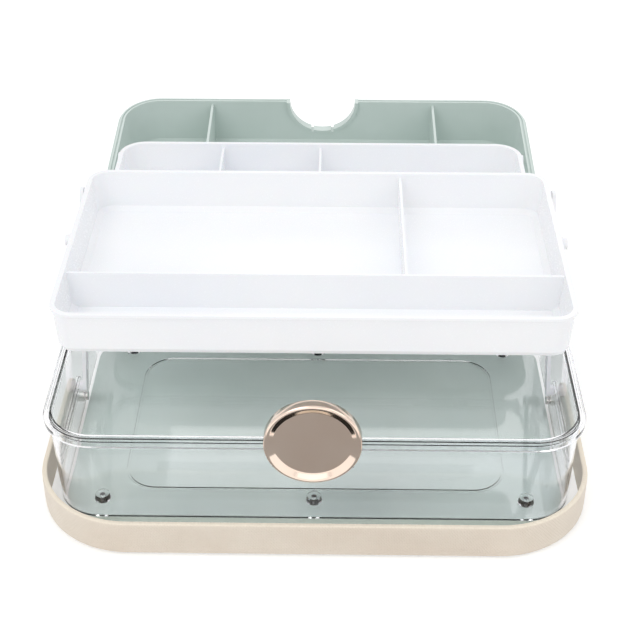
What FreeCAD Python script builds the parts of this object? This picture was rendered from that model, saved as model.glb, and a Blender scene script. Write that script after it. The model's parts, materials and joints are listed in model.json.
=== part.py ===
import FreeCAD, Part
import math
import os

from FreeCAD import Vector

# A clear storage case with a sage lid, two white trays and a carrying strap.
# Frame: millimetres, origin in the middle of the underside, +X to the right,
# +Y to the back and +Z up. The model stands open: the lid lies back, the front
# tray is raised on its scissor arms and the rear tray hangs between lid and links.

# Driving dimensions of the case
CASE_WIDTH = 320.0
CASE_DEPTH = 197.0
CORNER_RADIUS = 32.0
BASE_HEIGHT = 6.0
SEAT_GAP = 0.2
RIM_HEIGHT = 72.0
FLANGE_WIDTH = 3.0
FLANGE_HEIGHT = 6.0
WALL = 2.0
DRAFT = 1.6
FLOOR = 2.4
GROOVE = (2.7, 3.9)
GROOVE_DEPTH = 1.0

# Lid
LID_DEPTH = 44.0
LID_GAP = 0.4
LID_OPEN = 174.0
LID_DIVIDER_X = 88.0
LID_DIVIDER_LENGTH = 62.0
NOTCH_RADIUS = 26.0

# Hinge
HINGE_SETBACK = 4.6
HINGE_RISE = 0.2
HINGE_X = 90.0
KNUCKLE_RADIUS = 4.0
KNUCKLE_LENGTH = 10.0
HINGE_PIN_RADIUS = 1.5
PIN_CLEARANCE = 0.05

# Trays
TRAY_WIDTH = 290.0
TRAY_WALL = 1.9
FRONT_TRAY_DEPTH = 163.0
FRONT_TRAY_HEIGHT = 28.0
FRONT_TRAY_RADIUS = 13.0
FRONT_TRAY_START = 6.6
FRONT_TRAY_SHUT = 24.0
REAR_TRAY_DEPTH = 82.0
REAR_TRAY_HEIGHT = 26.0
REAR_TRAY_RADIUS = 18.0
REAR_TRAY_GAP = 3.0
REAR_TRAY_START = 97.0
RAIL_BACK = 1.9
CROSS_DIVIDER = 47.5
DIVIDER_DROP = 3.0

# Arms and links, all measured outwards from the middle of the case
ARM_WIDTH = 8.0
PIVOT_RADIUS = 2.0
INNER_ARM = (145.4, 147.4)
OUTER_ARM = (147.7, 150.1)
LINK_ARM = (150.4, 152.4)
SCISSOR_Y = 155.0
SCISSOR_Z = 35.0
SCISSOR_OPEN = 63.0
SCISSOR_REACH = 124.0
TRAY_PIN_DROP = 9.0
LINK_LENGTH = 60.0
LINK_OPEN = 16.5
LINK_PIN_INSET = 7.5

# Strap handle
STRAP_WIDTH = 23.0
STRAP_THICKNESS = 4.0
STRAP_HALF = 167.0
STRAP_RADIUS = 58.0
STRAP_REACH = 19.5
STRAP_PIVOT_Y = 116.0
STRAP_PIVOT_Z = 13.5

# Latch
LATCH_RADIUS = 28.0
LATCH_THICKNESS = 4.0
LATCH_RISE = 6.0
LATCH_PIVOT_DROP = 12.0
LATCH_STANDOFF = 6.0
LATCH_PIN_OUT = 3.4
HOOK_REACH = 4.9
LATCH_PIN_RADIUS = 1.25

# Base screws
BOSS_X = 129.0
BOSS_Y = 76.0
BOSS_RADIUS = 5.0
BOSS_HEIGHT = 4.0
SCREW_RADIUS = 1.6
SCREW_HEAD = 3.2

FRONT = -CASE_DEPTH / 2
HINGE = Vector(0, CASE_DEPTH / 2 + HINGE_SETBACK, RIM_HEIGHT + HINGE_RISE)
LID_RIM = RIM_HEIGHT + LID_GAP
SLIDER_CLEARANCE = 0.25
LATCH_Z = RIM_HEIGHT + LATCH_RISE
LATCH_PIVOT_Z = RIM_HEIGHT - LATCH_PIVOT_DROP


def rounded_wire(width, depth, radius, z, middle_y=0.0):
    """Rounded rectangle of lines and arcs, centred on x = 0 and y = middle_y."""
    a, b = width / 2, depth / 2
    h = radius * math.sqrt(0.5)
    edges = []
    corners = ((1, 1), (-1, 1), (-1, -1), (1, -1))
    for i, (sx, sy) in enumerate(corners):
        cx, cy = sx * (a - radius), middle_y + sy * (b - radius)
        on_x = Vector(cx + sx * radius, cy, z)
        on_y = Vector(cx, cy + sy * radius, z)
        middle = Vector(cx + sx * h, cy + sy * h, z)
        start, end = (on_x, on_y) if sx == sy else (on_y, on_x)
        edges.append(Part.Arc(start, middle, end).toShape())
        nx, ny = corners[(i + 1) % 4]
        ncx, ncy = nx * (a - radius), middle_y + ny * (b - radius)
        target = Vector(ncx, ncy + ny * radius, z) if nx != ny else Vector(ncx + nx * radius, ncy, z)
        edges.append(Part.LineSegment(end, target).toShape())
    return Part.Wire(edges)


def stack(width, depth, radius, sections, middle_y=0.0):
    """Solid through rounded rectangles, each a (z, inset) pair from the full outline."""
    wires = [rounded_wire(width - 2 * inset, depth - 2 * inset, max(radius - inset, 1.0), z, middle_y)
             for z, inset in sections]
    return Part.makeLoft(wires, True, True)


def block(x0, x1, y0, y1, z0, z1):
    """Box between two corners."""
    return Part.makeBox(x1 - x0, y1 - y0, z1 - z0, Vector(x0, y0, z0))


def rod(side, x0, x1, radius, y, z):
    """Cylinder along X on one side of the case, from x0 out to x1."""
    start = min(side * x0, side * x1)
    return Part.makeCylinder(radius, abs(x1 - x0), Vector(start, y, z), Vector(1, 0, 0))


def bar(side, plane, ends, width):
    """Flat bar with round ends, lying in one plane beside the case."""
    (y0, z0), (y1, z1) = ends
    length = math.hypot(y1 - y0, z1 - z0)
    angle = math.degrees(math.atan2(z1 - z0, y1 - y0))
    x0 = min(side * plane[0], side * plane[1])
    thickness = plane[1] - plane[0]
    body = block(x0, x0 + thickness, 0, length, -width / 2, width / 2)
    for y in (0, length):
        body = body.fuse(Part.makeCylinder(width / 2, thickness, Vector(x0, y, 0), Vector(1, 0, 0)))
    body = body.removeSplitter()
    body.rotate(Vector(0, 0, 0), Vector(1, 0, 0), angle)
    body.translate(Vector(0, y0, z0))
    return body


def both_sides(make):
    """One compound of a left and a right piece."""
    return Part.makeCompound([make(-1), make(1)])


def from_front(distance):
    """Y of a point that lies a distance behind the front of the rim."""
    return FRONT + distance


# Places that more than one piece uses
scissor_y = from_front(SCISSOR_Y)
scissor_open = math.radians(SCISSOR_OPEN)
scissor_run = SCISSOR_REACH * math.cos(scissor_open)
scissor_rise = SCISSOR_REACH * math.sin(scissor_open)
tray_pin_z = SCISSOR_Z + scissor_rise
front_tray_z = tray_pin_z + TRAY_PIN_DROP - FRONT_TRAY_HEIGHT
shut_pin_z = FRONT_TRAY_SHUT + FRONT_TRAY_HEIGHT - TRAY_PIN_DROP
scissor_shut = math.asin((shut_pin_z - SCISSOR_Z) / SCISSOR_REACH)
shut_run = SCISSOR_REACH * math.cos(scissor_shut)
front_tray_y = from_front(FRONT_TRAY_START) + FRONT_TRAY_DEPTH / 2

link_open = math.radians(LINK_OPEN)
link_shut = math.radians(LINK_OPEN + LID_OPEN)
open_step = (LINK_LENGTH * math.cos(link_open), LINK_LENGTH * math.sin(link_open))
shut_step = (LINK_LENGTH * math.cos(link_shut), LINK_LENGTH * math.sin(link_shut))
rear_shut_z = FRONT_TRAY_SHUT + FRONT_TRAY_HEIGHT + REAR_TRAY_GAP
rear_tray_z = rear_shut_z + open_step[1] - shut_step[1]
rear_tray_front = from_front(REAR_TRAY_START) + open_step[0] - shut_step[0]
rear_tray_y = rear_tray_front + REAR_TRAY_DEPTH / 2
ear_pin = (HINGE.y + open_step[0], HINGE.z + open_step[1])
link_pin = (rear_tray_front + LINK_PIN_INSET, HINGE.z + open_step[1])
link_pivot = (link_pin[0] - open_step[0], HINGE.z)


def inner_wall(z):
    """Half width of the clear tub's inside at a height."""
    share = (RIM_HEIGHT - z) / (RIM_HEIGHT - BASE_HEIGHT)
    return CASE_WIDTH / 2 - FLANGE_WIDTH - WALL - DRAFT * share


def make_tub():
    """Clear tub: tapered walls, stepped rim, floor bosses, hinge knuckles and slide rails."""
    step = 1.5
    flange_z = RIM_HEIGHT - FLANGE_HEIGHT
    low = FLANGE_WIDTH + DRAFT
    outside = stack(CASE_WIDTH, CASE_DEPTH, CORNER_RADIUS,
                    [(BASE_HEIGHT, low + 3.0), (BASE_HEIGHT + 3.0, low), (RIM_HEIGHT - 1, FLANGE_WIDTH)])
    flange = stack(CASE_WIDTH, CASE_DEPTH, CORNER_RADIUS, [(flange_z, 0.4), (flange_z + 0.6, 0), (RIM_HEIGHT - 2, 0)])
    lip = stack(CASE_WIDTH, CASE_DEPTH, CORNER_RADIUS, [(RIM_HEIGHT - 2, step), (RIM_HEIGHT, step)])
    inside = stack(CASE_WIDTH, CASE_DEPTH, CORNER_RADIUS,
                   [(BASE_HEIGHT + FLOOR, low + WALL + 1.4), (BASE_HEIGHT + FLOOR + 1.4, low + WALL),
                    (RIM_HEIGHT + 1, FLANGE_WIDTH + WALL)])
    tub = outside.fuse([flange, lip]).cut(inside).cut(groove_ring(RIM_HEIGHT - GROOVE_DEPTH, RIM_HEIGHT + 1))
    groove_z = BASE_HEIGHT + FLOOR - 0.8
    groove = stack(236, 134, 20, [(groove_z, 0), (groove_z + 2, 0)])
    groove = groove.cut(stack(236, 134, 20, [(groove_z - 1, 1.6), (groove_z + 3, 1.6)]))
    tub = tub.cut(groove)
    for x in (-BOSS_X, 0, BOSS_X):
        for y in (-BOSS_Y, BOSS_Y):
            boss = Part.makeCone(BOSS_RADIUS, BOSS_RADIUS - 0.8, BOSS_HEIGHT, Vector(x, y, BASE_HEIGHT + FLOOR - 0.1))
            hole = Part.makeCylinder(SCREW_RADIUS + PIN_CLEARANCE, FLOOR + BOSS_HEIGHT - 0.9, Vector(x, y, BASE_HEIGHT))
            tub = tub.fuse(boss).cut(hole)
    for x in (-HINGE_X, HINGE_X):
        for end in (-2, 1):
            tub = tub.fuse(knuckle(x + end * KNUCKLE_LENGTH, KNUCKLE_LENGTH, RIM_HEIGHT - 3.4, RIM_HEIGHT - 0.4))
    tub = tub.cut(Part.makeCompound([hinge_bore(x) for x in (-HINGE_X, HINGE_X)]))
    half_gap = PIVOT_RADIUS + SLIDER_CLEARANCE
    rail_start = scissor_y - shut_run - 5
    rail_end = scissor_y - scissor_run + 5
    for side in (-1, 1):
        wall = inner_wall(SCISSOR_Z) + 0.6
        for low_z in (SCISSOR_Z - half_gap - 1.4, SCISSOR_Z + half_gap):
            x0, x1 = sorted((side * (LINK_ARM[1] + 0.2), side * wall))
            tub = tub.fuse(block(x0, x1, rail_start, rail_end, low_z, low_z + 1.4))
        tub = tub.fuse(rod(side, LINK_ARM[1] + 0.5, wall, 4.5, scissor_y, SCISSOR_Z))
        tub = tub.cut(rod(side, LINK_ARM[1], wall - 0.6, PIVOT_RADIUS + PIN_CLEARANCE, scissor_y, SCISSOR_Z))
        tub = tub.cut(rod(side, inner_wall(STRAP_PIVOT_Z) - 1, CASE_WIDTH / 2, PIVOT_RADIUS + PIN_CLEARANCE,
                          from_front(STRAP_PIVOT_Y), STRAP_PIVOT_Z))
        ear = block(-1.4, 1.4, FRONT - 5.2, FRONT + 4.2, LATCH_PIVOT_Z - 2, RIM_HEIGHT - FLANGE_HEIGHT + 0.5)
        ear.translate(Vector(side * (LATCH_RADIUS - 6), 0, 0))
        tub = tub.fuse(ear)
    latch_bore = latch_rod(LATCH_PIN_RADIUS + PIN_CLEARANCE, 60)
    return tub.cut(latch_bore)


def groove_ring(z0, z1):
    """Ring cut out of the mating face of a rim, which leaves a double lip."""
    outer = stack(CASE_WIDTH, CASE_DEPTH, CORNER_RADIUS, [(z0, GROOVE[0]), (z1, GROOVE[0])])
    return outer.cut(stack(CASE_WIDTH, CASE_DEPTH, CORNER_RADIUS, [(z0 - 1, GROOVE[1]), (z1 + 1, GROOVE[1])]))


def latch_rod(radius, length):
    """Cylinder along the latch's pivot, centred on x = 0."""
    return Part.makeCylinder(radius, length, Vector(-length / 2, FRONT - LATCH_PIN_OUT, LATCH_PIVOT_Z), Vector(1, 0, 0))


def knuckle(x, length, web_low, web_high):
    """Hinge knuckle with the web that joins it to the rim in front of it."""
    barrel = Part.makeCylinder(KNUCKLE_RADIUS, length, Vector(x, HINGE.y, HINGE.z), Vector(1, 0, 0))
    web = block(x, x + length, HINGE.y - HINGE_SETBACK - 1.2, HINGE.y - 1, web_low, web_high)
    return barrel.fuse(web)


def hinge_bore(x):
    """Bore through one group of three knuckles."""
    length = 4 * KNUCKLE_LENGTH + 2
    radius = HINGE_PIN_RADIUS + PIN_CLEARANCE
    return Part.makeCylinder(radius, length, Vector(x - length / 2, HINGE.y, HINGE.z), Vector(1, 0, 0))


def make_base():
    """Sage base plate under the clear floor, with counterbored screw holes."""
    inset = FLANGE_WIDTH + DRAFT + 3.0
    base = stack(CASE_WIDTH, CASE_DEPTH, CORNER_RADIUS, [(0, inset + 1.2), (1.2, inset), (BASE_HEIGHT - SEAT_GAP, inset)])
    for x in (-BOSS_X, 0, BOSS_X):
        for y in (-BOSS_Y, BOSS_Y):
            base = base.cut(Part.makeCylinder(SCREW_RADIUS + 0.2, BASE_HEIGHT + 1, Vector(x, y, -0.5)))
            base = base.cut(Part.makeCylinder(SCREW_HEAD + 0.3, 3.0, Vector(x, y, -0.1)))
    return base


def make_screws():
    """Six base screws, driven up into the clear bosses."""
    screws = []
    for x in (-BOSS_X, 0, BOSS_X):
        for y in (-BOSS_Y, BOSS_Y):
            head = Part.makeCylinder(SCREW_HEAD, 1.8, Vector(x, y, 1.1))
            slot = block(x - 0.4, x + 0.4, y - SCREW_HEAD, y + SCREW_HEAD, 1.0, 1.7)
            shank = Part.makeCylinder(SCREW_RADIUS, BASE_HEIGHT + FLOOR + BOSS_HEIGHT - 4.2, Vector(x, y, 2.8))
            screws.append(head.cut(slot).fuse(shank))
    return Part.makeCompound(screws)


def open_lid(shape):
    """Swing a piece modelled on the shut lid to its open place."""
    shape.rotate(HINGE, Vector(1, 0, 0), -LID_OPEN)
    return shape


def make_lid():
    """Sage lid shell, modelled shut: stepped lip, latch notch, dividers, knuckles and tray ears."""
    z = LID_RIM
    top = z + LID_DEPTH
    wall = 2.2
    outside = stack(CASE_WIDTH, CASE_DEPTH, CORNER_RADIUS,
                    [(z + 1, FLANGE_WIDTH), (top - 10, FLANGE_WIDTH + 2.4), (top - 3.5, FLANGE_WIDTH + 6), (top, 17)])
    flange = stack(CASE_WIDTH, CASE_DEPTH, CORNER_RADIUS, [(z + 2, 0), (z + FLANGE_HEIGHT - 0.6, 0), (z + FLANGE_HEIGHT, 0.4)])
    lip = stack(CASE_WIDTH, CASE_DEPTH, CORNER_RADIUS, [(z, 1.5), (z + 2, 1.5)])
    inset = FLANGE_WIDTH + wall
    cavity = stack(CASE_WIDTH, CASE_DEPTH, CORNER_RADIUS,
                   [(z - 1, inset), (top - 10, inset + 2.4), (top - 5, inset + 5.5), (top - wall, 19)])
    shell = outside.fuse([flange, lip])
    collar = Part.makeCylinder(NOTCH_RADIUS + 2.6, inset + 1.4, Vector(0, FRONT + 0.9, z), Vector(0, 1, 0))
    collar = collar.common(block(-60, 60, FRONT, FRONT + 20, z, top))
    lid = shell.cut(cavity).cut(groove_ring(z - 1, z + GROOVE_DEPTH))
    for x in (-LID_DIVIDER_X, LID_DIVIDER_X):
        divider = block(x - 0.9, x + 0.9, FRONT + FLANGE_WIDTH + 1, FRONT + LID_DIVIDER_LENGTH, z + DIVIDER_DROP, top)
        lid = lid.fuse(divider.common(outside))
    lid = lid.fuse(collar)
    notch = Part.makeCylinder(NOTCH_RADIUS, 30, Vector(0, FRONT - 5, z), Vector(0, 1, 0))
    nicks = [block(x - 1, x + 1, FRONT - 5, FRONT + 15, z + NOTCH_RADIUS - 3, z + NOTCH_RADIUS + 0.6) for x in (-8, 8)]
    lid = lid.cut(Part.makeCompound([notch] + nicks))
    for x in (-HINGE_X, HINGE_X):
        length = 2 * KNUCKLE_LENGTH - 0.8
        lid = lid.fuse(knuckle(x - length / 2, length, z + 0.3, z + 3.4))
    lid = lid.cut(Part.makeCompound([hinge_bore(x) for x in (-HINGE_X, HINGE_X)]))
    pin_y = HINGE.y + shut_step[0]
    pin_z = HINGE.z + shut_step[1]
    root_z = z + 26
    for side in (-1, 1):
        ear = bar(side, OUTER_ARM, ((pin_y, pin_z), (pin_y + 8, root_z)), 11)
        root = bar(side, (OUTER_ARM[0], CASE_WIDTH / 2 - inset), ((pin_y + 6, root_z), (pin_y + 12, root_z + 4)), 11)
        lid = lid.fuse([ear, root])
        lid = lid.cut(rod(side, OUTER_ARM[0] - 1, OUTER_ARM[1] + 1, PIVOT_RADIUS + PIN_CLEARANCE, pin_y, pin_z))
    return open_lid(lid)


def make_hinge_pins():
    """Two steel hinge pins."""
    length = 4 * KNUCKLE_LENGTH
    return Part.makeCompound([
        Part.makeCylinder(HINGE_PIN_RADIUS, length, Vector(x - length / 2, HINGE.y, HINGE.z), Vector(1, 0, 0))
        for x in (-HINGE_X, HINGE_X)])


def tray_body(depth, height, radius, middle_y, z, dividers):
    """Open tray with rounded bottom edge, small outer lip and thin dividers."""
    top = z + height
    outside = stack(TRAY_WIDTH, depth, radius,
                    [(z, 6.0), (z + 1.2, 3.8), (z + 4, 2.4), (top - 1, 1.2)], middle_y)
    lip = stack(TRAY_WIDTH, depth, radius, [(top - 2.2, 0.5), (top - 1.8, 0), (top, 0)], middle_y)
    inside = stack(TRAY_WIDTH, depth, radius,
                   [(z + TRAY_WALL, 8.0), (z + 4.5, 2.4 + TRAY_WALL), (top + 1, 1.0 + TRAY_WALL)], middle_y)
    tray = outside.fuse(lip)
    walls = [tray.cut(inside)]
    low = z + TRAY_WALL - 0.3
    for x0, x1, y0, y1 in dividers:
        walls.append(block(x0, x1, y0, y1, low, top - DIVIDER_DROP).common(tray))
    return walls[0].fuse(walls[1:])


def make_front_tray():
    """Front tray: a cross divider, one front-to-back divider and a slide rail outside each side wall."""
    half = TRAY_WIDTH / 2
    front = front_tray_y - FRONT_TRAY_DEPTH / 2
    back = front + FRONT_TRAY_DEPTH
    cross = front + CROSS_DIVIDER
    dividers = [(-half + 2, half - 2, cross - 0.8, cross + 0.8), (51.7, 53.3, cross, back - 2)]
    tray = tray_body(FRONT_TRAY_DEPTH, FRONT_TRAY_HEIGHT, FRONT_TRAY_RADIUS, front_tray_y, front_tray_z, dividers)
    start = scissor_y - shut_run - SLIDER_CLEARANCE
    end = scissor_y - scissor_run + SLIDER_CLEARANCE
    track = ((start, tray_pin_z), (end, tray_pin_z))
    for side in (-1, 1):
        rail = bar(side, (half - RAIL_BACK - 0.9, half), track, 2 * PIVOT_RADIUS + 4.8)
        slot = bar(side, (half - RAIL_BACK, half + 2), track, 2 * (PIVOT_RADIUS + SLIDER_CLEARANCE))
        tray = tray.fuse(rail).cut(slot)
        boss = rod(side, half - 2.6, INNER_ARM[1], 3.4, scissor_y, tray_pin_z)
        tray = tray.fuse(boss.cut(rod(side, half, INNER_ARM[1] + 1, PIVOT_RADIUS + PIN_CLEARANCE, scissor_y, tray_pin_z)))
    return tray


def make_rear_tray():
    """Rear tray: two front-to-back dividers, pin bosses low on the sides and a stop stud at the back."""
    half = TRAY_WIDTH / 2
    back = rear_tray_front + REAR_TRAY_DEPTH
    dividers = [(x - 0.8, x + 0.8, rear_tray_front + 2, back - 2) for x in (-71, 0)]
    plain = tray_body(REAR_TRAY_DEPTH, REAR_TRAY_HEIGHT, REAR_TRAY_RADIUS, rear_tray_y, rear_tray_z, dividers)
    bosses = []
    bores = []
    for side in (-1, 1):
        for y, plane, start in ((ear_pin[0], OUTER_ARM, half - 6.5), (link_pin[0], LINK_ARM, half - 10)):
            outer = plane[0] - 0.2
            bosses.append(rod(side, start, outer, 3.2, y, ear_pin[1]))
            bores.append(rod(side, half - 2, outer + 1, PIVOT_RADIUS + PIN_CLEARANCE, y, ear_pin[1]))
        stud_z = rear_tray_z + REAR_TRAY_HEIGHT - 9
        bosses.append(rod(side, half - 3, OUTER_ARM[0] - 0.4, 4.5, back - 9.5, stud_z))
    inside = stack(TRAY_WIDTH, REAR_TRAY_DEPTH, REAR_TRAY_RADIUS,
                   [(rear_tray_z + TRAY_WALL, 8.0), (rear_tray_z + REAR_TRAY_HEIGHT, 3.0)], rear_tray_y)
    tray = plain.fuse(bosses).cut(inside).fuse(plain)
    return tray.cut(Part.makeCompound(bores))


def ribbed_bar(side, plane, ends):
    """Moulded arm: a flat bar with a long shallow channel sunk in its inner face."""
    arm = bar(side, plane, ends, ARM_WIDTH)
    (y0, z0), (y1, z1) = ends
    length = math.hypot(y1 - y0, z1 - z0)
    uy, uz = (y1 - y0) / length, (z1 - z0) / length
    for low, high in ((0.10, 0.44), (0.56, 0.90)):
        a = (y0 + uy * length * low, z0 + uz * length * low)
        b = (y0 + uy * length * high, z0 + uz * length * high)
        arm = arm.cut(bar(side, (plane[0] - 1, plane[0] + 0.7), (a, b), 3.6))
    return arm


def make_lift_arm(side):
    """Arm pinned to the tub at the back; its upper end carries the stud that slides in the tray."""
    low = (scissor_y, SCISSOR_Z)
    high = (scissor_y - scissor_run, tray_pin_z)
    middle = ((low[0] + high[0]) / 2, (low[1] + high[1]) / 2)
    arm = ribbed_bar(side, INNER_ARM, (low, high))
    for y, z in (low, middle):
        arm = arm.cut(rod(side, INNER_ARM[0] - 1, INNER_ARM[1] + 1, PIVOT_RADIUS + PIN_CLEARANCE, y, z))
    stud = rod(side, TRAY_WIDTH / 2 - RAIL_BACK + 0.2, INNER_ARM[0] + 0.5, PIVOT_RADIUS, *high)
    knob = rod(side, INNER_ARM[1] - 0.5, OUTER_ARM[1], 3.3, *high)
    return arm.fuse([stud, knob])


def make_cross_arm(side):
    """Arm pinned to the tray at the back; its foot carries the stud that slides along the tub."""
    low = (scissor_y - scissor_run, SCISSOR_Z)
    high = (scissor_y, tray_pin_z)
    middle = ((low[0] + high[0]) / 2, (low[1] + high[1]) / 2)
    arm = ribbed_bar(side, OUTER_ARM, (low, high))
    for y, z in (high, middle):
        arm = arm.cut(rod(side, OUTER_ARM[0] - 1, OUTER_ARM[1] + 1, PIVOT_RADIUS + PIN_CLEARANCE, y, z))
    foot = rod(side, OUTER_ARM[1] - 0.5, LINK_ARM[1], 3.6, *low)
    stud = rod(side, LINK_ARM[1] - 0.5, inner_wall(SCISSOR_Z) - 0.3, PIVOT_RADIUS, *low)
    return arm.fuse([foot, stud])


def make_lift_pins():
    """Shouldered pins that hold the lift arms to the tub."""
    def pin(side):
        shank = rod(side, INNER_ARM[0] - 0.2, inner_wall(SCISSOR_Z) - 0.2, PIVOT_RADIUS, scissor_y, SCISSOR_Z)
        head = rod(side, INNER_ARM[0] - 1.3, INNER_ARM[0] - 0.1, 3.4, scissor_y, SCISSOR_Z)
        shoulder = rod(side, INNER_ARM[1] + 0.2, LINK_ARM[1] + 0.3, 3.0, scissor_y, SCISSOR_Z)
        return shank.fuse([head, shoulder])
    return both_sides(pin)


def make_centre_pins():
    """Rivets where the two arms of each scissor cross."""
    y = scissor_y - scissor_run / 2
    z = SCISSOR_Z + scissor_rise / 2
    return both_sides(lambda side: rod(side, INNER_ARM[0], OUTER_ARM[1], PIVOT_RADIUS, y, z))


def make_front_tray_pins():
    """Pins between the front tray's bosses and the cross arms."""
    return both_sides(lambda side: rod(side, TRAY_WIDTH / 2, OUTER_ARM[1], PIVOT_RADIUS, scissor_y, tray_pin_z))


def make_rear_tray_pins():
    """Pins in the rear tray: one pair reaches the lid's ears, the other the links."""
    pins = []
    for side in (-1, 1):
        pins.append(rod(side, TRAY_WIDTH / 2 - 2, OUTER_ARM[1], PIVOT_RADIUS, *ear_pin))
        pins.append(rod(side, TRAY_WIDTH / 2 - 2, LINK_ARM[1], PIVOT_RADIUS, *link_pin))
    return Part.makeCompound(pins)


def make_link(side):
    """Link between the bracket on the tub and the front pin of the rear tray."""
    link = bar(side, LINK_ARM, (link_pivot, link_pin), ARM_WIDTH)
    for y, z in (link_pivot, link_pin):
        link = link.cut(rod(side, LINK_ARM[0] - 1, LINK_ARM[1] + 1, PIVOT_RADIUS + PIN_CLEARANCE, y, z))
    return link


def make_bracket(side):
    """Bracket screwed inside the tub's wall, which carries the link's pivot stud above the rim."""
    plane = (LINK_ARM[1] + 0.3, LINK_ARM[1] + 1.3)
    low_end = (link_pivot[0] - 12, RIM_HEIGHT - 14)
    foot = bar(side, (plane[0], inner_wall(RIM_HEIGHT - 20) - 0.15), (low_end, (low_end[0] + 4, low_end[1] + 4)), 10)
    plate = bar(side, plane, (link_pivot, low_end), 10).fuse(foot)
    return plate.fuse(rod(side, LINK_ARM[0] + 0.05, plane[0] + 0.3, PIVOT_RADIUS, *link_pivot))


def strap_path(inset, z):
    """U-shaped wire of the strap's outer face, moved in by an inset."""
    half = STRAP_HALF - inset
    front = FRONT - STRAP_REACH + inset
    radius = STRAP_RADIUS - inset
    h = radius * math.sqrt(0.5)
    back = from_front(STRAP_PIVOT_Y)
    cy = front + radius
    points = [Vector(-half, back, z), Vector(-half, cy, z), Vector(-half + radius, front, z),
              Vector(half - radius, front, z), Vector(half, cy, z), Vector(half, back, z)]
    left = Part.Arc(points[1], Vector(-half + radius - h, cy - h, z), points[2])
    right = Part.Arc(points[3], Vector(half - radius + h, cy - h, z), points[4])
    return [Part.LineSegment(points[0], points[1]).toShape(), left.toShape(),
            Part.LineSegment(points[2], points[3]).toShape(), right.toShape(),
            Part.LineSegment(points[4], points[5]).toShape()]


def make_strap():
    """Leather strap bent round the front of the base, with rounded ends at its rivets."""
    low = STRAP_PIVOT_Z - STRAP_WIDTH / 2
    outer = strap_path(0, low)
    inner = strap_path(STRAP_THICKNESS, low)
    ends = [Part.LineSegment(outer[0].valueAt(outer[0].FirstParameter), inner[0].valueAt(inner[0].FirstParameter)),
            Part.LineSegment(outer[4].valueAt(outer[4].LastParameter), inner[4].valueAt(inner[4].LastParameter))]
    wire = Part.Wire(Part.__sortEdges__(outer + inner + [e.toShape() for e in ends]))
    strap = Part.Face(wire).extrude(Vector(0, 0, STRAP_WIDTH))
    y = from_front(STRAP_PIVOT_Y)
    for side in (-1, 1):
        strap = strap.fuse(rod(side, STRAP_HALF - STRAP_THICKNESS, STRAP_HALF, STRAP_WIDTH / 2, y, STRAP_PIVOT_Z))
        strap = strap.cut(rod(side, STRAP_HALF - 9, STRAP_HALF + 1, PIVOT_RADIUS + 0.55 + PIN_CLEARANCE, y, STRAP_PIVOT_Z))
    return strap.removeSplitter()


def make_strap_rivets():
    """Shouldered rivets through the tub's walls that carry the strap."""
    y = from_front(STRAP_PIVOT_Y)

    def rivet(side):
        wall = inner_wall(STRAP_PIVOT_Z)
        shank = rod(side, wall - 0.3, CASE_WIDTH / 2 - 2, PIVOT_RADIUS, y, STRAP_PIVOT_Z)
        inner_head = rod(side, wall - 1.6, wall - 0.2, 3.2, y, STRAP_PIVOT_Z)
        spacer = rod(side, wall + WALL + 0.3, STRAP_HALF - STRAP_THICKNESS - 0.3, 4.0, y, STRAP_PIVOT_Z)
        neck = rod(side, STRAP_HALF - STRAP_THICKNESS - 1, STRAP_HALF + 0.3, PIVOT_RADIUS + 0.5, y, STRAP_PIVOT_Z)
        head = rod(side, STRAP_HALF + 0.3, STRAP_HALF + 1.5, 5.0, y, STRAP_PIVOT_Z)
        return shank.fuse([inner_head, spacer, neck, head])
    return both_sides(rivet)


def make_latch_disc():
    """Metal-look disc: flat rim, bevelled ring and a shallow dished middle."""
    r = LATCH_RADIUS
    t = LATCH_THICKNESS
    profile = [(0, 0), (r - 0.6, 0), (r, 0.6), (r, t - 1.2), (r - 1.0, t), (r - 2.6, t), (r - 4.4, t - 1.3), (0, t - 1.9)]
    points = [Vector(x, -y, 0) for x, y in profile]
    face = Part.Face(Part.makePolygon(points + [points[0]]))
    disc = face.revolve(Vector(0, 0, 0), Vector(0, 1, 0), 360)
    disc.translate(Vector(0, FRONT - LATCH_STANDOFF, LATCH_Z))
    return disc


def make_latch_body():
    """Rocker behind the disc: a plate, two cheeks on the pivot pin and a hook over the lid's notch."""
    back = FRONT - LATCH_STANDOFF
    plate = Part.makeCylinder(LATCH_RADIUS - 5, 1.4, Vector(0, back + 1.4, LATCH_Z), Vector(0, -1, 0))
    hook_z = LID_RIM + NOTCH_RADIUS - 4.2
    neck = block(-6, 6, back + 1, FRONT + HOOK_REACH, hook_z - 3, hook_z)
    hook = block(-6, 6, FRONT + HOOK_REACH - 1.3, FRONT + HOOK_REACH, hook_z - 3, hook_z + 2.0)
    body = plate.fuse([neck, hook])
    for side in (-1, 1):
        cheek = block(-1.2, 1.2, back + 1, FRONT - 1.2, LATCH_PIVOT_Z - 2.4, LATCH_PIVOT_Z + 6)
        cheek.translate(Vector(side * (LATCH_RADIUS - 9.2), 0, 0))
        body = body.fuse(cheek)
    bore = latch_rod(LATCH_PIN_RADIUS + PIN_CLEARANCE, 60)
    return body.cut(bore)


def make_latch_pin():
    """Steel pin of the latch rocker."""
    return latch_rod(LATCH_PIN_RADIUS, 46)


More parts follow.
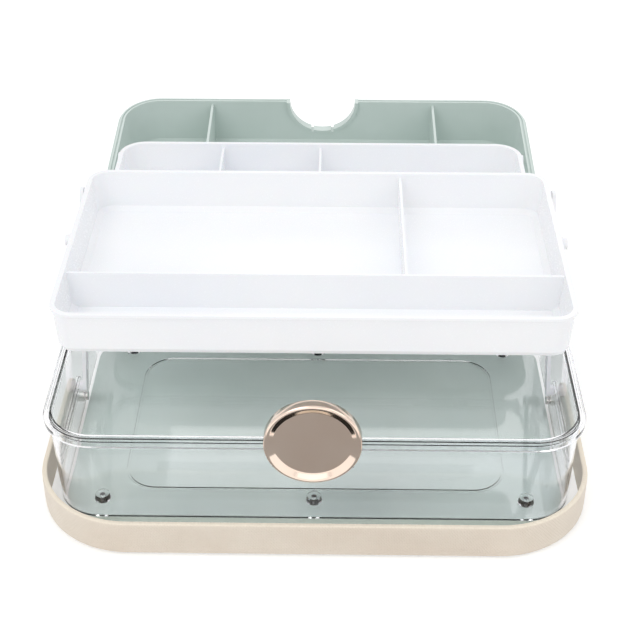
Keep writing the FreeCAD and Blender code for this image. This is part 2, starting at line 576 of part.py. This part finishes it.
def main():
    """Build every piece and write one STEP file a node."""
    pieces = {
        "clear_tub": make_tub(),
        "base_plate": make_base(),
        "base_screws": make_screws(),
        "lid_shell": make_lid(),
        "hinge_pins": make_hinge_pins(),
        "front_tray": make_front_tray(),
        "front_tray_pins": make_front_tray_pins(),
        "rear_tray": make_rear_tray(),
        "rear_tray_pins": make_rear_tray_pins(),
        "lift_pins": make_lift_pins(),
        "scissor_centre_pins": make_centre_pins(),
        "carry_strap": make_strap(),
        "strap_rivets": make_strap_rivets(),
        "latch_disc": make_latch_disc(),
        "latch_body": make_latch_body(),
        "latch_pin": make_latch_pin(),
    }
    for side, name in ((-1, "left"), (1, "right")):
        pieces["lift_arm_" + name] = make_lift_arm(side)
        pieces["cross_arm_" + name] = make_cross_arm(side)
        pieces["link_" + name] = make_link(side)
        pieces["link_bracket_" + name] = make_bracket(side)
    os.makedirs("parts", exist_ok=True)
    for name, shape in pieces.items():
        shape.exportStep("parts/" + name + ".step")
        box = shape.BoundBox
        print("%-20s solids %d  valid %s  x %.1f..%.1f  y %.1f..%.1f  z %.1f..%.1f" % (
            name, len(shape.Solids), shape.isValid(), box.XMin, box.XMax, box.YMin, box.YMax, box.ZMin, box.ZMax))
    print("scissor shut %.3f deg, lift turn %.3f deg" % (
        math.degrees(scissor_shut), SCISSOR_OPEN - math.degrees(scissor_shut)))
    print("scissor pivot", scissor_y, SCISSOR_Z, "tray pin z", tray_pin_z, "centre", scissor_y - scissor_run / 2,
          SCISSOR_Z + scissor_rise / 2)
    print("hinge", HINGE.y, HINGE.z, "ear pin", ear_pin, "link pivot", link_pivot, "link pin", link_pin)


main()
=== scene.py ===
# %% [markdown]
# # A make-up case that opens in tiers
# The case is a clear tub on a sage plate, with a sage lid, two white trays and a leather strap.
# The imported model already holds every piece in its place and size, so this script gives the
# pieces their finishes, and remakes two of them as surfaces: the soft strap and the polished
# face of the latch.

import json
import math

import bmesh
import bpy
import numpy as np
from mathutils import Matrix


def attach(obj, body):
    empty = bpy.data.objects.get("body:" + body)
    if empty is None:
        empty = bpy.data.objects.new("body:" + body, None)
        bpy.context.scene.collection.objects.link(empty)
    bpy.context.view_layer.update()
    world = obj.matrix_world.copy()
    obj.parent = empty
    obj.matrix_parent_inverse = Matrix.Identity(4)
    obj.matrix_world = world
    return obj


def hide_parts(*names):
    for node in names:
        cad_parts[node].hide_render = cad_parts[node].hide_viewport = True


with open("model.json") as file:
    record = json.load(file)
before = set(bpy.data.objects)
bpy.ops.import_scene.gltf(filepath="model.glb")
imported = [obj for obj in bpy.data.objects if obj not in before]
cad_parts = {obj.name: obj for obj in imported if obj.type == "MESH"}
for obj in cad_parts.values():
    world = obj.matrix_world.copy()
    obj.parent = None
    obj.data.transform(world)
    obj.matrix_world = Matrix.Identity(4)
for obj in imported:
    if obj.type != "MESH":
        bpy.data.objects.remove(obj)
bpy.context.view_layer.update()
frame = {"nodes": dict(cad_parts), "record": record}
nodes = frame["nodes"]


# %% Helper for objects
def add_object(name, data):
    """An object with that data, linked to the scene."""
    item = bpy.data.objects.new(name, data)
    bpy.context.scene.collection.objects.link(item)
    return item


# %% [markdown]
# ## Camera
# The lens looks down at the case from in front, so the lid behind the trays still shows above
# them. A long lens keeps the front and the back of the case at nearly the same scale.

# %% Camera
CAMERA_PLACE = (0.013, -0.6989, 0.578)
CAMERA_TILT = 55.0
CAMERA_TURN = 0.86
CAMERA_LENS = 77.1
SENSOR_WIDTH = 36.0

camera_data = bpy.data.cameras.new("studio_camera")
camera_data.lens = CAMERA_LENS
camera_data.sensor_width = SENSOR_WIDTH
camera = add_object("studio_camera", camera_data)
camera.location = CAMERA_PLACE
camera.rotation_euler = (math.radians(CAMERA_TILT), 0.0, math.radians(CAMERA_TURN))
bpy.context.scene.camera = camera
bpy.context.scene.view_settings.view_transform = "Standard"
print("camera looks down", 90 - CAMERA_TILT, "degrees")


# %% [markdown]
# ## Colours and nodes
# Colours are easiest to pick on a screen, where they hold a display curve, while a shader wants
# linear light. The first helper undoes that curve. The others keep node building to one line
# a node, because a material is a short list of nodes and of links between them.

# %% Helpers for colours and node trees
DISPLAY_POWER = 2.2

def screen(r, g, b):
    """Linear colour of a screen colour given as 0 to 255: each channel to DISPLAY_POWER."""
    return tuple((c / 255.0) ** DISPLAY_POWER for c in (r, g, b)) + (1.0,)


def add_node(tree, kind, x, y, **settings):
    """A node of that kind at (x, y), with its own settings."""
    node = tree.nodes.new(kind)
    node.location = (x, y)
    for key, value in settings.items():
        setattr(node, key, value)
    return node


def set_inputs(node, **values):
    """Sets input sockets by name, with underscores for the spaces in their names."""
    for key, value in values.items():
        node.inputs[key.replace("_", " ")].default_value = value


# %% [markdown]
# ## One effect for all moulded and worn surfaces
# Real plastic is never one even colour: it has slow clouds from the mould, a fine skin that
# spreads its shine, and a few paler rubs. The group below makes the clouds and the skin from
# noise on Object coordinates, and each material gives it its own colours and sizes. The colours
# and the roughness come out, and so does a normal from a Bump node.

# %% Node group: clouded skin
def make_skin_group():
    """Colour = mix(colour, shade, clouds), roughness = base + spread * fine, normal = bump(fine)."""
    group = bpy.data.node_groups.new("Clouded Skin", "ShaderNodeTree")
    face = group.interface
    for name, kind, value in (("Colour", "NodeSocketColor", (0.5, 0.5, 0.5, 1)),
                              ("Shade", "NodeSocketColor", (0.4, 0.4, 0.4, 1)),
                              ("Cloud Scale", "NodeSocketFloat", 14.0),
                              ("Skin Scale", "NodeSocketFloat", 900.0),
                              ("Roughness", "NodeSocketFloat", 0.3),
                              ("Spread", "NodeSocketFloat", 0.1),
                              ("Bump", "NodeSocketFloat", 0.1)):
        face.new_socket(name=name, in_out="INPUT", socket_type=kind).default_value = value
    for name, kind in (("Color", "NodeSocketColor"), ("Roughness", "NodeSocketFloat"),
                       ("Normal", "NodeSocketVector")):
        face.new_socket(name=name, in_out="OUTPUT", socket_type=kind)
    start = add_node(group, "NodeGroupInput", -900, 0)
    end = add_node(group, "NodeGroupOutput", 500, 0)
    place = add_node(group, "ShaderNodeTexCoord", -900, -300)
    clouds = add_node(group, "ShaderNodeTexNoise", -600, 150)
    set_inputs(clouds, Detail=3.0, Roughness=0.55)
    fine = add_node(group, "ShaderNodeTexNoise", -600, -200)
    set_inputs(fine, Detail=2.0, Roughness=0.6)
    spread_clouds = add_node(group, "ShaderNodeMapRange", -350, 150)
    set_inputs(spread_clouds, From_Min=0.35, From_Max=0.65)
    mix = add_node(group, "ShaderNodeMix", -100, 200, data_type="RGBA")
    centre = add_node(group, "ShaderNodeMath", -350, -100, operation="SUBTRACT")
    centre.inputs[1].default_value = 0.5
    rough = add_node(group, "ShaderNodeMath", -100, -50, operation="MULTIPLY_ADD")
    bump = add_node(group, "ShaderNodeBump", 150, -250)
    bump.inputs["Distance"].default_value = 0.0002
    link = group.links.new
    link(place.outputs["Object"], clouds.inputs["Vector"])
    link(place.outputs["Object"], fine.inputs["Vector"])
    link(start.outputs["Cloud Scale"], clouds.inputs["Scale"])
    link(start.outputs["Skin Scale"], fine.inputs["Scale"])
    link(clouds.outputs["Fac"], spread_clouds.inputs["Value"])
    link(spread_clouds.outputs["Result"], mix.inputs["Factor"])
    link(start.outputs["Colour"], mix.inputs["A"])
    link(start.outputs["Shade"], mix.inputs["B"])
    link(fine.outputs["Fac"], centre.inputs[0])
    link(centre.outputs[0], rough.inputs[0])
    link(start.outputs["Spread"], rough.inputs[1])
    link(start.outputs["Roughness"], rough.inputs[2])
    link(fine.outputs["Fac"], bump.inputs["Height"])
    link(start.outputs["Bump"], bump.inputs["Strength"])
    link(mix.outputs["Result"], end.inputs["Color"])
    link(rough.outputs[0], end.inputs["Roughness"])
    link(bump.outputs["Normal"], end.inputs["Normal"])
    return group


skin_group = make_skin_group()
print("group sockets", len(skin_group.interface.items_tree))


# %% [markdown]
# ## Materials
# Each material is that group, set to one finish, in front of a Principled shader. What never
# changes over the surface, such as the index of refraction, is set on the shader itself.

# %% Materials from the group
def skin_material(name, colour, shade, group_values, shader_values):
    """A material whose colour, roughness and normal come from the clouded skin group."""
    material = bpy.data.materials.new(name)
    material.use_nodes = True
    tree = material.node_tree
    tree.nodes.clear()
    out = add_node(tree, "ShaderNodeOutputMaterial", 500, 0)
    shader = add_node(tree, "ShaderNodeBsdfPrincipled", 200, 0)
    set_inputs(shader, **shader_values)
    skin = add_node(tree, "ShaderNodeGroup", -100, 0, node_tree=skin_group)
    set_inputs(skin, Colour=colour, Shade=shade, **group_values)
    tree.links.new(skin.outputs["Color"], shader.inputs["Base Color"])
    tree.links.new(skin.outputs["Roughness"], shader.inputs["Roughness"])
    tree.links.new(skin.outputs["Normal"], shader.inputs["Normal"])
    tree.links.new(shader.outputs["BSDF"], out.inputs["Surface"])
    return material


sage = skin_material("sage_plastic", screen(209, 221, 217), screen(202, 215, 210),
                     dict(Cloud_Scale=16.0, Skin_Scale=1400.0, Roughness=0.34, Spread=0.12, Bump=0.10),
                     dict(IOR=1.46, Coat_Weight=0.12, Coat_Roughness=0.25))
# A paler copy of the sage plastic for the base plate. This is painted light: it stands in for the light that
# the clear tub and the trays above keep from the plate.
sage_base_painted_light = skin_material("sage_base_painted_light", screen(219, 233, 226), screen(212, 227, 219),
                          dict(Cloud_Scale=16.0, Skin_Scale=1400.0, Roughness=0.4, Spread=0.12, Bump=0.10),
                          dict(IOR=1.46))
white = skin_material("white_plastic", screen(247, 248, 250), screen(243, 245, 249),
                      dict(Cloud_Scale=10.0, Skin_Scale=1200.0, Roughness=0.26, Spread=0.10, Bump=0.06),
                      dict(IOR=1.46, Subsurface_Weight=0.05, Subsurface_Scale=0.004))
bright = skin_material("bright_steel", screen(214, 212, 208), screen(196, 194, 192),
                       dict(Cloud_Scale=60.0, Skin_Scale=2600.0, Roughness=0.18, Spread=0.10, Bump=0.08),
                       dict(Metallic=1.0))
dark = skin_material("dark_steel", screen(62, 64, 66), screen(44, 46, 48),
                     dict(Cloud_Scale=120.0, Skin_Scale=2600.0, Roughness=0.38, Spread=0.2, Bump=0.15),
                     dict(Metallic=0.9))
latch_metal = skin_material("latch_metal", screen(244, 224, 208), screen(238, 216, 199),
                            dict(Cloud_Scale=30.0, Skin_Scale=3000.0, Roughness=0.07, Spread=0.03, Bump=0.01),
                            dict(Metallic=1.0))
latch_plastic = skin_material("latch_plastic", screen(178, 184, 182), screen(168, 175, 172),
                              dict(Cloud_Scale=20.0, Skin_Scale=1400.0, Roughness=0.42, Spread=0.1, Bump=0.1),
                              dict(IOR=1.46))
print("skin materials", len(bpy.data.materials))


# %% [markdown]
# ## Clear plastic
# The tub is moulded clear: light passes through it twice, bent by each face, and its thick rim
# gathers grey edges. A transmitting shader does that by itself. Its shadow would be far too
# dark, because lamps can't find their way through bent light, so shadow rays see a thin skin.
# White plastic lets some light through as well, so it gets the same treatment, less strongly.

# %% Clear plastic
CLEAR_SHADOW = 0.02
WHITE_SHADOW = 0.35

def let_light_through(material, share):
    """Alpha is 1 for all rays but shadow rays, which keep only a share of the piece."""
    tree = material.node_tree
    shader = next(n for n in tree.nodes if n.type == "BSDF_PRINCIPLED")
    rays = add_node(tree, "ShaderNodeLightPath", -400, 300)
    thin = add_node(tree, "ShaderNodeMapRange", -100, 300)
    set_inputs(thin, To_Min=1.0, To_Max=share)
    tree.links.new(rays.outputs["Is Shadow Ray"], thin.inputs["Value"])
    tree.links.new(thin.outputs["Result"], shader.inputs["Alpha"])


def clear_material(name, tint, clouded, group_values):
    """A transmitting plastic whose alpha is 1 for all rays but shadow rays."""
    material = skin_material(name, tint, clouded, group_values, dict(IOR=1.45, Transmission_Weight=1.0))
    let_light_through(material, CLEAR_SHADOW)
    return material


clear = clear_material("clear_plastic", screen(254, 254, 255), screen(251, 252, 254),
                       dict(Cloud_Scale=9.0, Skin_Scale=300.0, Roughness=0.03, Spread=0.03, Bump=0.02))
let_light_through(white, WHITE_SHADOW)
print("clear plastic ready")


# %% [markdown]
# ## Finishes on the hard pieces
# A table says which finish each hard piece has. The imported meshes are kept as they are.

# %% Put the finishes on
FINISH = {"clear_plastic": clear, "sage_plastic": sage, "white_plastic": white, "dark_steel": dark,
          "bright_steel": bright, "latch_metal": latch_metal, "latch_plastic": latch_plastic}

slot_of = {part["node"]: part["material_slot"] for part in frame["record"]["subparts"]}
for name, piece in nodes.items():
    # The base plate takes the paler sage copy, and its extra brightness is painted light.
    finish = sage_base_painted_light if name == "base_plate" else FINISH.get(slot_of[name])
    if finish is None:
        continue
    if not piece.material_slots:
        piece.data.materials.append(finish)
    for place in piece.material_slots:
        place.material = finish
    print("finish", name, finish.name)


# %% [markdown]
# ## The strap's leather
# The strap is a pale board of leather with a fine crossed grain pressed into it, and paler
# painted edges. Its own UV map runs along and round the strap in metres, so the grain follows
# the bend. Two slanted waves cross to make the grain, and a noise breaks their order.

# %% Strap material
GRAIN_PITCH = 0.0016
GRAIN_TURN = 38.0
CRESTS_PER_UNIT = 3.0

def wave_on(tree, vector, turn, x, y):
    """A sine wave over the UV map, turned by an angle, with about GRAIN_PITCH between crests."""
    mapping = add_node(tree, "ShaderNodeMapping", x, y)
    mapping.inputs["Rotation"].default_value = (0.0, 0.0, math.radians(turn))
    wave = add_node(tree, "ShaderNodeTexWave", x + 200, y)
    set_inputs(wave, Scale=1.0 / (GRAIN_PITCH * CRESTS_PER_UNIT), Distortion=1.2, Detail=1.0)
    tree.links.new(vector, mapping.inputs["Vector"])
    tree.links.new(mapping.outputs["Vector"], wave.inputs["Vector"])
    return wave


def make_leather():
    """Skin material plus a bump from two crossed waves on the strap's UV map."""
    material = skin_material("strap_leather", screen(232, 221, 206), screen(226, 213, 197),
                             dict(Cloud_Scale=22.0, Skin_Scale=700.0, Roughness=0.52, Spread=0.16, Bump=0.25),
                             dict(IOR=1.46, Sheen_Weight=0.08))
    tree = material.node_tree
    shader = next(n for n in tree.nodes if n.type == "BSDF_PRINCIPLED")
    skin = next(n for n in tree.nodes if n.type == "GROUP")
    uv = add_node(tree, "ShaderNodeUVMap", -1100, -400, uv_map="grain")
    first = wave_on(tree, uv.outputs["UV"], GRAIN_TURN, -900, -300)
    second = wave_on(tree, uv.outputs["UV"], -GRAIN_TURN, -900, -650)
    cross = add_node(tree, "ShaderNodeMath", -450, -450, operation="MULTIPLY")
    bump = add_node(tree, "ShaderNodeBump", -150, -350)
    set_inputs(bump, Strength=0.55, Distance=0.0003)
    edge = add_node(tree, "ShaderNodeAttribute", -450, 300, attribute_name="edge")
    mix = add_node(tree, "ShaderNodeMix", 0, 300, data_type="RGBA")
    mix.inputs["B"].default_value = screen(243, 232, 214)
    link = tree.links.new
    link(first.outputs["Fac"], cross.inputs[0])
    link(second.outputs["Fac"], cross.inputs[1])
    link(cross.outputs[0], bump.inputs["Height"])
    link(skin.outputs["Normal"], bump.inputs["Normal"])
    link(bump.outputs["Normal"], shader.inputs["Normal"])
    link(edge.outputs["Fac"], mix.inputs["Factor"])
    link(skin.outputs["Color"], mix.inputs["A"])
    link(mix.outputs["Result"], shader.inputs["Base Color"])
    return material


leather = make_leather()
print("grain pitch", GRAIN_PITCH)


# %% [markdown]
# ## The strap as one carried profile
# A flat band bent into a U is a section carried along a path. The path is the middle of the
# band: two straight sides, two quarter bends and a straight front. The section is a rounded
# box, and near both ends its height shrinks along a circle, which rounds the ends.

# %% Strap path
STRAP_HALF = 0.165
STRAP_THICK = 0.0036
STRAP_HEIGHT = 0.0226
PIVOT = (0.0175, 0.0135)
FRONT_LINE = -0.116
BEND = 0.056
BOX_POWER = 0.28
EDGE_START = 0.93
EDGE_FADE = 0.05
FACE_LIMIT = 0.97

def strap_middle(s):
    """Place and tangent at lengths s: straight, quarter circle, straight, quarter circle, straight."""
    side = PIVOT[0] + STRAP_HEIGHT / 2 - (FRONT_LINE + BEND)
    arc = BEND * math.pi / 2
    front = 2 * (STRAP_HALF - BEND)
    knots = np.cumsum([0.0, side, arc, front, arc, side])
    a = np.clip((s - knots[1]) / BEND, 0, math.pi / 2)
    b = np.clip((s - knots[3]) / BEND, 0, math.pi / 2)
    x = -STRAP_HALF + BEND * (1 - np.cos(a)) + np.clip(s - knots[2], 0, front) + BEND * np.sin(b)
    y = (PIVOT[0] + STRAP_HEIGHT / 2 - np.clip(s, 0, side) - BEND * np.sin(a)
         + BEND * (1 - np.cos(b)) + np.clip(s - knots[4], 0, side))
    angle = -math.pi / 2 + a + b
    return x, y, np.cos(angle), np.sin(angle), knots[-1]


# %% Strap surface
def strap_grid(along=420, round_count=40, end_count=25):
    """Points middle(s) + normal * (thickness / 2) * u + up * height(s) * v.

    (u, v) runs round a rounded box: cosine and sine, each to BOX_POWER.
    """
    total = float(strap_middle(np.zeros(1))[4])
    r = STRAP_HEIGHT / 2
    t = np.linspace(0.0, 1.0, end_count + 1)[1:]
    ends = r * (1 - np.cos(t * math.pi / 2))
    s = np.concatenate([ends, np.linspace(r, total - r, along)[1:-1], (total - ends)[::-1]])
    x, y, tx, ty, _ = strap_middle(s)
    near = np.minimum(np.minimum(s, total - s), r)
    height = np.sqrt(np.clip(r * r - (r - near) ** 2, 0, None))
    turn = np.linspace(0.0, 2 * math.pi, round_count, endpoint=False)
    u = np.sign(np.cos(turn)) * np.abs(np.cos(turn)) ** BOX_POWER
    v = np.sign(np.sin(turn)) * np.abs(np.sin(turn)) ** BOX_POWER
    half = STRAP_THICK / 2
    points = np.empty((len(s), round_count, 3))
    points[..., 0] = x[:, None] + ty[:, None] * half * u
    points[..., 1] = y[:, None] - tx[:, None] * half * u
    points[..., 2] = PIVOT[1] + height[:, None] * v
    return points, s, u, v


def strap_mesh():
    """Quads between neighbouring rows of the grid, with one cap polygon at each end."""
    points, s, u, v = strap_grid()
    rows, count = points.shape[:2]
    index = np.arange(rows * count).reshape(rows, count)
    following = np.roll(index, -1, axis=1)
    quads = np.stack([index[:-1], following[:-1], following[1:], index[1:]], axis=-1).reshape(-1, 4)
    faces = quads.tolist() + [index[0][::-1].tolist(), index[-1].tolist()]
    mesh = bpy.data.meshes.new("leather_strap")
    mesh.from_pydata(points.reshape(-1, 3).tolist(), [], faces)
    uv = mesh.uv_layers.new(name="grain")
    corner = np.empty(len(mesh.loops), dtype=np.int32)
    mesh.loops.foreach_get("vertex_index", corner)
    flat = np.stack([s[corner // count], points.reshape(-1, 3)[corner, 2]], axis=-1)
    uv.data.foreach_set("uv", flat.astype(np.float32).ravel())
    edge = mesh.attributes.new("edge", "FLOAT", "POINT")
    mask = np.clip((np.abs(v) - EDGE_START) / EDGE_FADE, 0, 1) * (np.abs(u) < FACE_LIMIT)
    edge.data.foreach_set("value", np.tile(mask, rows).astype(np.float32))
    mesh.shade_smooth()
    return mesh


# %% Strap piece
def recalculate(mesh):
    """Turns every face outwards."""
    work = bmesh.new()
    work.from_mesh(mesh)
    bmesh.ops.recalc_face_normals(work, faces=work.faces)
    work.to_mesh(mesh)
    work.free()


strap_data = strap_mesh()
recalculate(strap_data)
strap = add_object("leather_strap", strap_data)
strap_data.materials.append(leather)
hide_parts("carry_strap")
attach(strap, "strap")
print("strap faces", len(strap_data.polygons))


# %% [markdown]
# ## The latch's polished face
# The latch is a thin dished disc, and a mirror finish shows every flat in a mesh, so its face
# is worked out afresh: a profile turned about the disc's axis, with a skirt behind, a rounded
# rim, a wide bevel and a very shallow bowl. The bevel bends what the metal mirrors into arcs.

# %% Latch face
LATCH_RADIUS = 0.028
LATCH_THICK = 0.004
LATCH_CENTRE = (0.0, -0.1045, 0.078)
SKIRT = 0.003
BEVEL_DROP = 0.0018
BOWL_DEPTH = 0.0005
SKIRT_INNER = 0.0018
SKIRT_OUTER = 0.0005
SKIRT_ROUND_IN = 0.0003
SKIRT_ROUND_OUT = 0.0006
RIM_ROUND = 0.0012
BEVEL_START = 0.0015
BEVEL_END = 0.0058

def latch_profile():
    """Radius and depth pairs: hollow back, skirt, rounded rim, conical bevel, circular bowl."""
    skirt = np.array([[LATCH_RADIUS - SKIRT_INNER, 0.0],
                      [LATCH_RADIUS - SKIRT_INNER, -SKIRT + SKIRT_ROUND_IN],
                      [LATCH_RADIUS - BEVEL_START, -SKIRT],
                      [LATCH_RADIUS - SKIRT_OUTER, -SKIRT],
                      [LATCH_RADIUS, -SKIRT + SKIRT_ROUND_OUT]])
    turn = np.linspace(0.0, math.pi / 2, 10)
    rim = np.stack([LATCH_RADIUS - RIM_ROUND + RIM_ROUND * np.cos(turn),
                    LATCH_THICK - RIM_ROUND + RIM_ROUND * np.sin(turn)], axis=-1)
    step = np.linspace(0.0, 1.0, 8)[1:]
    reach = LATCH_RADIUS - BEVEL_END
    bevel = np.stack([LATCH_RADIUS - BEVEL_START + (reach - LATCH_RADIUS + BEVEL_START) * step,
                      LATCH_THICK - BEVEL_DROP * step], axis=-1)
    radii = np.linspace(reach, 0.0, 30)[1:-1]
    ball = (reach ** 2 + BOWL_DEPTH ** 2) / (2 * BOWL_DEPTH)
    floor_depth = LATCH_THICK - BEVEL_DROP - BOWL_DEPTH
    bowl = np.stack([radii, floor_depth + ball - np.sqrt(ball ** 2 - radii ** 2)], axis=-1)
    return np.concatenate([skirt, rim, bevel, bowl]), floor_depth


def turned_mesh(name, profile, middle_depth, segments=144):
    """Point(i, a) = centre + radius_i * (cos a, 0, sin a) - depth_i * Y, closed by fans at both poles."""
    a = np.linspace(0.0, 2 * math.pi, segments, endpoint=False)
    points = np.empty((len(profile), segments, 3))
    points[..., 0] = LATCH_CENTRE[0] + profile[:, :1] * np.cos(a)
    points[..., 1] = LATCH_CENTRE[1] - profile[:, 1:]
    points[..., 2] = LATCH_CENTRE[2] + profile[:, :1] * np.sin(a)
    index = np.arange(len(profile) * segments).reshape(-1, segments)
    following = np.roll(index, -1, axis=1)
    quads = np.stack([index[:-1], index[1:], following[1:], following[:-1]], axis=-1).reshape(-1, 4)
    poles = [[LATCH_CENTRE[0], LATCH_CENTRE[1], LATCH_CENTRE[2]],
             [LATCH_CENTRE[0], LATCH_CENTRE[1] - middle_depth, LATCH_CENTRE[2]]]
    last = index.size
    back = np.stack([index[0], following[0], np.full(segments, last)], axis=-1)
    face = np.stack([following[-1], index[-1], np.full(segments, last + 1)], axis=-1)
    mesh = bpy.data.meshes.new(name)
    faces = quads.tolist() + back.tolist() + face.tolist()
    mesh.from_pydata(points.reshape(-1, 3).tolist() + poles, [], faces)
    mesh.shade_smooth()
    return mesh


latch_rows, bowl_middle = latch_profile()
latch_data = turned_mesh("latch_face", latch_rows, bowl_middle)
recalculate(latch_data)
latch_face = add_object("latch_face", latch_data)
latch_data.materials.append(latch_metal)
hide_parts("latch_disc")
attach(latch_face, "latch")
print("latch face rings", len(latch_rows))


# %% [markdown]
# ## Floor, world and lamps
# A white room makes white plastic hard to read, so the lamps stay low and soft and the world
# gives most of the light. The floor looks a little brighter to the camera than it lights,
# which takes it to white and still keeps the shadow under the case. A dark card and a grey
# card lie on the floor, seen only in reflections, and give the polished latch its arcs.

# %% World
def camera_like(tree, x, y):
    """1 for camera, glossy and transmitted rays, and 0 for the rest."""
    rays = add_node(tree, "ShaderNodeLightPath", x, y)
    first = add_node(tree, "ShaderNodeMath", x + 200, y, operation="MAXIMUM")
    second = add_node(tree, "ShaderNodeMath", x + 400, y, operation="MAXIMUM")
    tree.links.new(rays.outputs["Is Camera Ray"], first.inputs[0])
    tree.links.new(rays.outputs["Is Glossy Ray"], first.inputs[1])
    tree.links.new(first.outputs[0], second.inputs[0])
    tree.links.new(rays.outputs["Is Transmission Ray"], second.inputs[1])
    return second.outputs[0]


WORLD_LIGHT = 0.76

world = bpy.data.worlds.new("white_room")
bpy.context.scene.world = world
world.use_nodes = True
world_tree = world.node_tree
world_tree.nodes.clear()
world_out = add_node(world_tree, "ShaderNodeOutputWorld", 400, 0)
room = add_node(world_tree, "ShaderNodeBackground", 200, 0)
room.inputs["Color"].default_value = (1.0, 1.0, 1.0, 1.0)
level = add_node(world_tree, "ShaderNodeMapRange", 0, 0)
set_inputs(level, To_Min=WORLD_LIGHT, To_Max=1.0)
world_tree.links.new(camera_like(world_tree, -700, 0), level.inputs["Value"])
world_tree.links.new(level.outputs["Result"], room.inputs["Strength"])
world_tree.links.new(room.outputs["Background"], world_out.inputs["Surface"])
print("world light", WORLD_LIGHT)


# %% Floor
FLOOR_LIFT = 0.30
FLOOR_HALF = 4.0
FLOOR_GREY = 0.86

floor_data = bpy.data.meshes.new("studio_floor")
floor_corners = [(-FLOOR_HALF, -FLOOR_HALF, 0.0), (FLOOR_HALF, -FLOOR_HALF, 0.0),
                 (FLOOR_HALF, FLOOR_HALF, 0.0), (-FLOOR_HALF, FLOOR_HALF, 0.0)]
floor_data.from_pydata(floor_corners, [], [(0, 1, 2, 3)])
floor = add_object("studio_floor", floor_data)
floor_material = bpy.data.materials.new("studio_floor")
floor_material.use_nodes = True
floor_tree = floor_material.node_tree
floor_shader = floor_tree.nodes["Principled BSDF"]
set_inputs(floor_shader, Base_Color=(FLOOR_GREY, FLOOR_GREY, FLOOR_GREY, 1.0), Roughness=0.9,
           Specular_IOR_Level=0.1)
floor_shader.inputs["Emission Color"].default_value = (1.0, 1.0, 1.0, 1.0)
lift = add_node(floor_tree, "ShaderNodeMath", -200, -300, operation="MULTIPLY")
lift.inputs[1].default_value = FLOOR_LIFT
floor_tree.links.new(camera_like(floor_tree, -900, -300), lift.inputs[0])
floor_tree.links.new(lift.outputs[0], floor_shader.inputs["Emission Strength"])
floor_data.materials.append(floor_material)
print("floor lift", FLOOR_LIFT)


# %% Lamps
CASE_MIDDLE = (0.0, 0.05, 0.05)

def soft_lamp(name, place, target, size, power):
    """A square area lamp at a place, turned towards a target."""
    data = bpy.data.lights.new(name, "AREA")
    data.size = size
    data.energy = power
    lamp = add_object(name, data)
    lamp.location = place
    away = np.array(place) - np.array(target)
    lamp.rotation_euler = (math.acos(away[2] / np.linalg.norm(away)), 0.0,
                           math.atan2(away[1], away[0]) + math.pi / 2)


soft_lamp("key_lamp", (-0.9, -0.9, 1.6), CASE_MIDDLE, 1.2, 8.0)
soft_lamp("fill_lamp", (1.2, -0.5, 1.2), CASE_MIDDLE, 1.2, 3.5)
soft_lamp("low_lamp", (0.0, -1.7, 0.55), (0.0, 0.0, 0.04), 1.0, 1.5)
soft_lamp("back_lamp", (0.1, 1.5, 1.4), (0.0, 0.1, 0.05), 0.9, 3.0)
print("lamps", len(bpy.data.lights))


# %% Cards seen only in reflections
CARD_HEIGHT = 0.001

def reflected_card(name, near, far, half_width, shade):
    """A flat card on the floor from y = near to y = far, that only glossy rays see."""
    data = bpy.data.meshes.new(name)
    corners = [(-half_width, far, CARD_HEIGHT), (half_width, far, CARD_HEIGHT),
               (half_width, near, CARD_HEIGHT), (-half_width, near, CARD_HEIGHT)]
    data.from_pydata(corners, [], [(0, 1, 2, 3)])
    card = add_object(name, data)
    material = bpy.data.materials.new(name)
    material.use_nodes = True
    shader = material.node_tree.nodes["Principled BSDF"]
    set_inputs(shader, Base_Color=(shade, shade, shade, 1.0), Roughness=1.0)
    data.materials.append(material)
    card.visible_camera = False
    card.visible_diffuse = False
    card.visible_shadow = False
    card.visible_transmission = False


reflected_card("dark_card", -0.121, -0.150, 0.10, 0.01)
reflected_card("grey_card", -0.156, -0.2175, 0.30, 0.40)
print("cards ready")
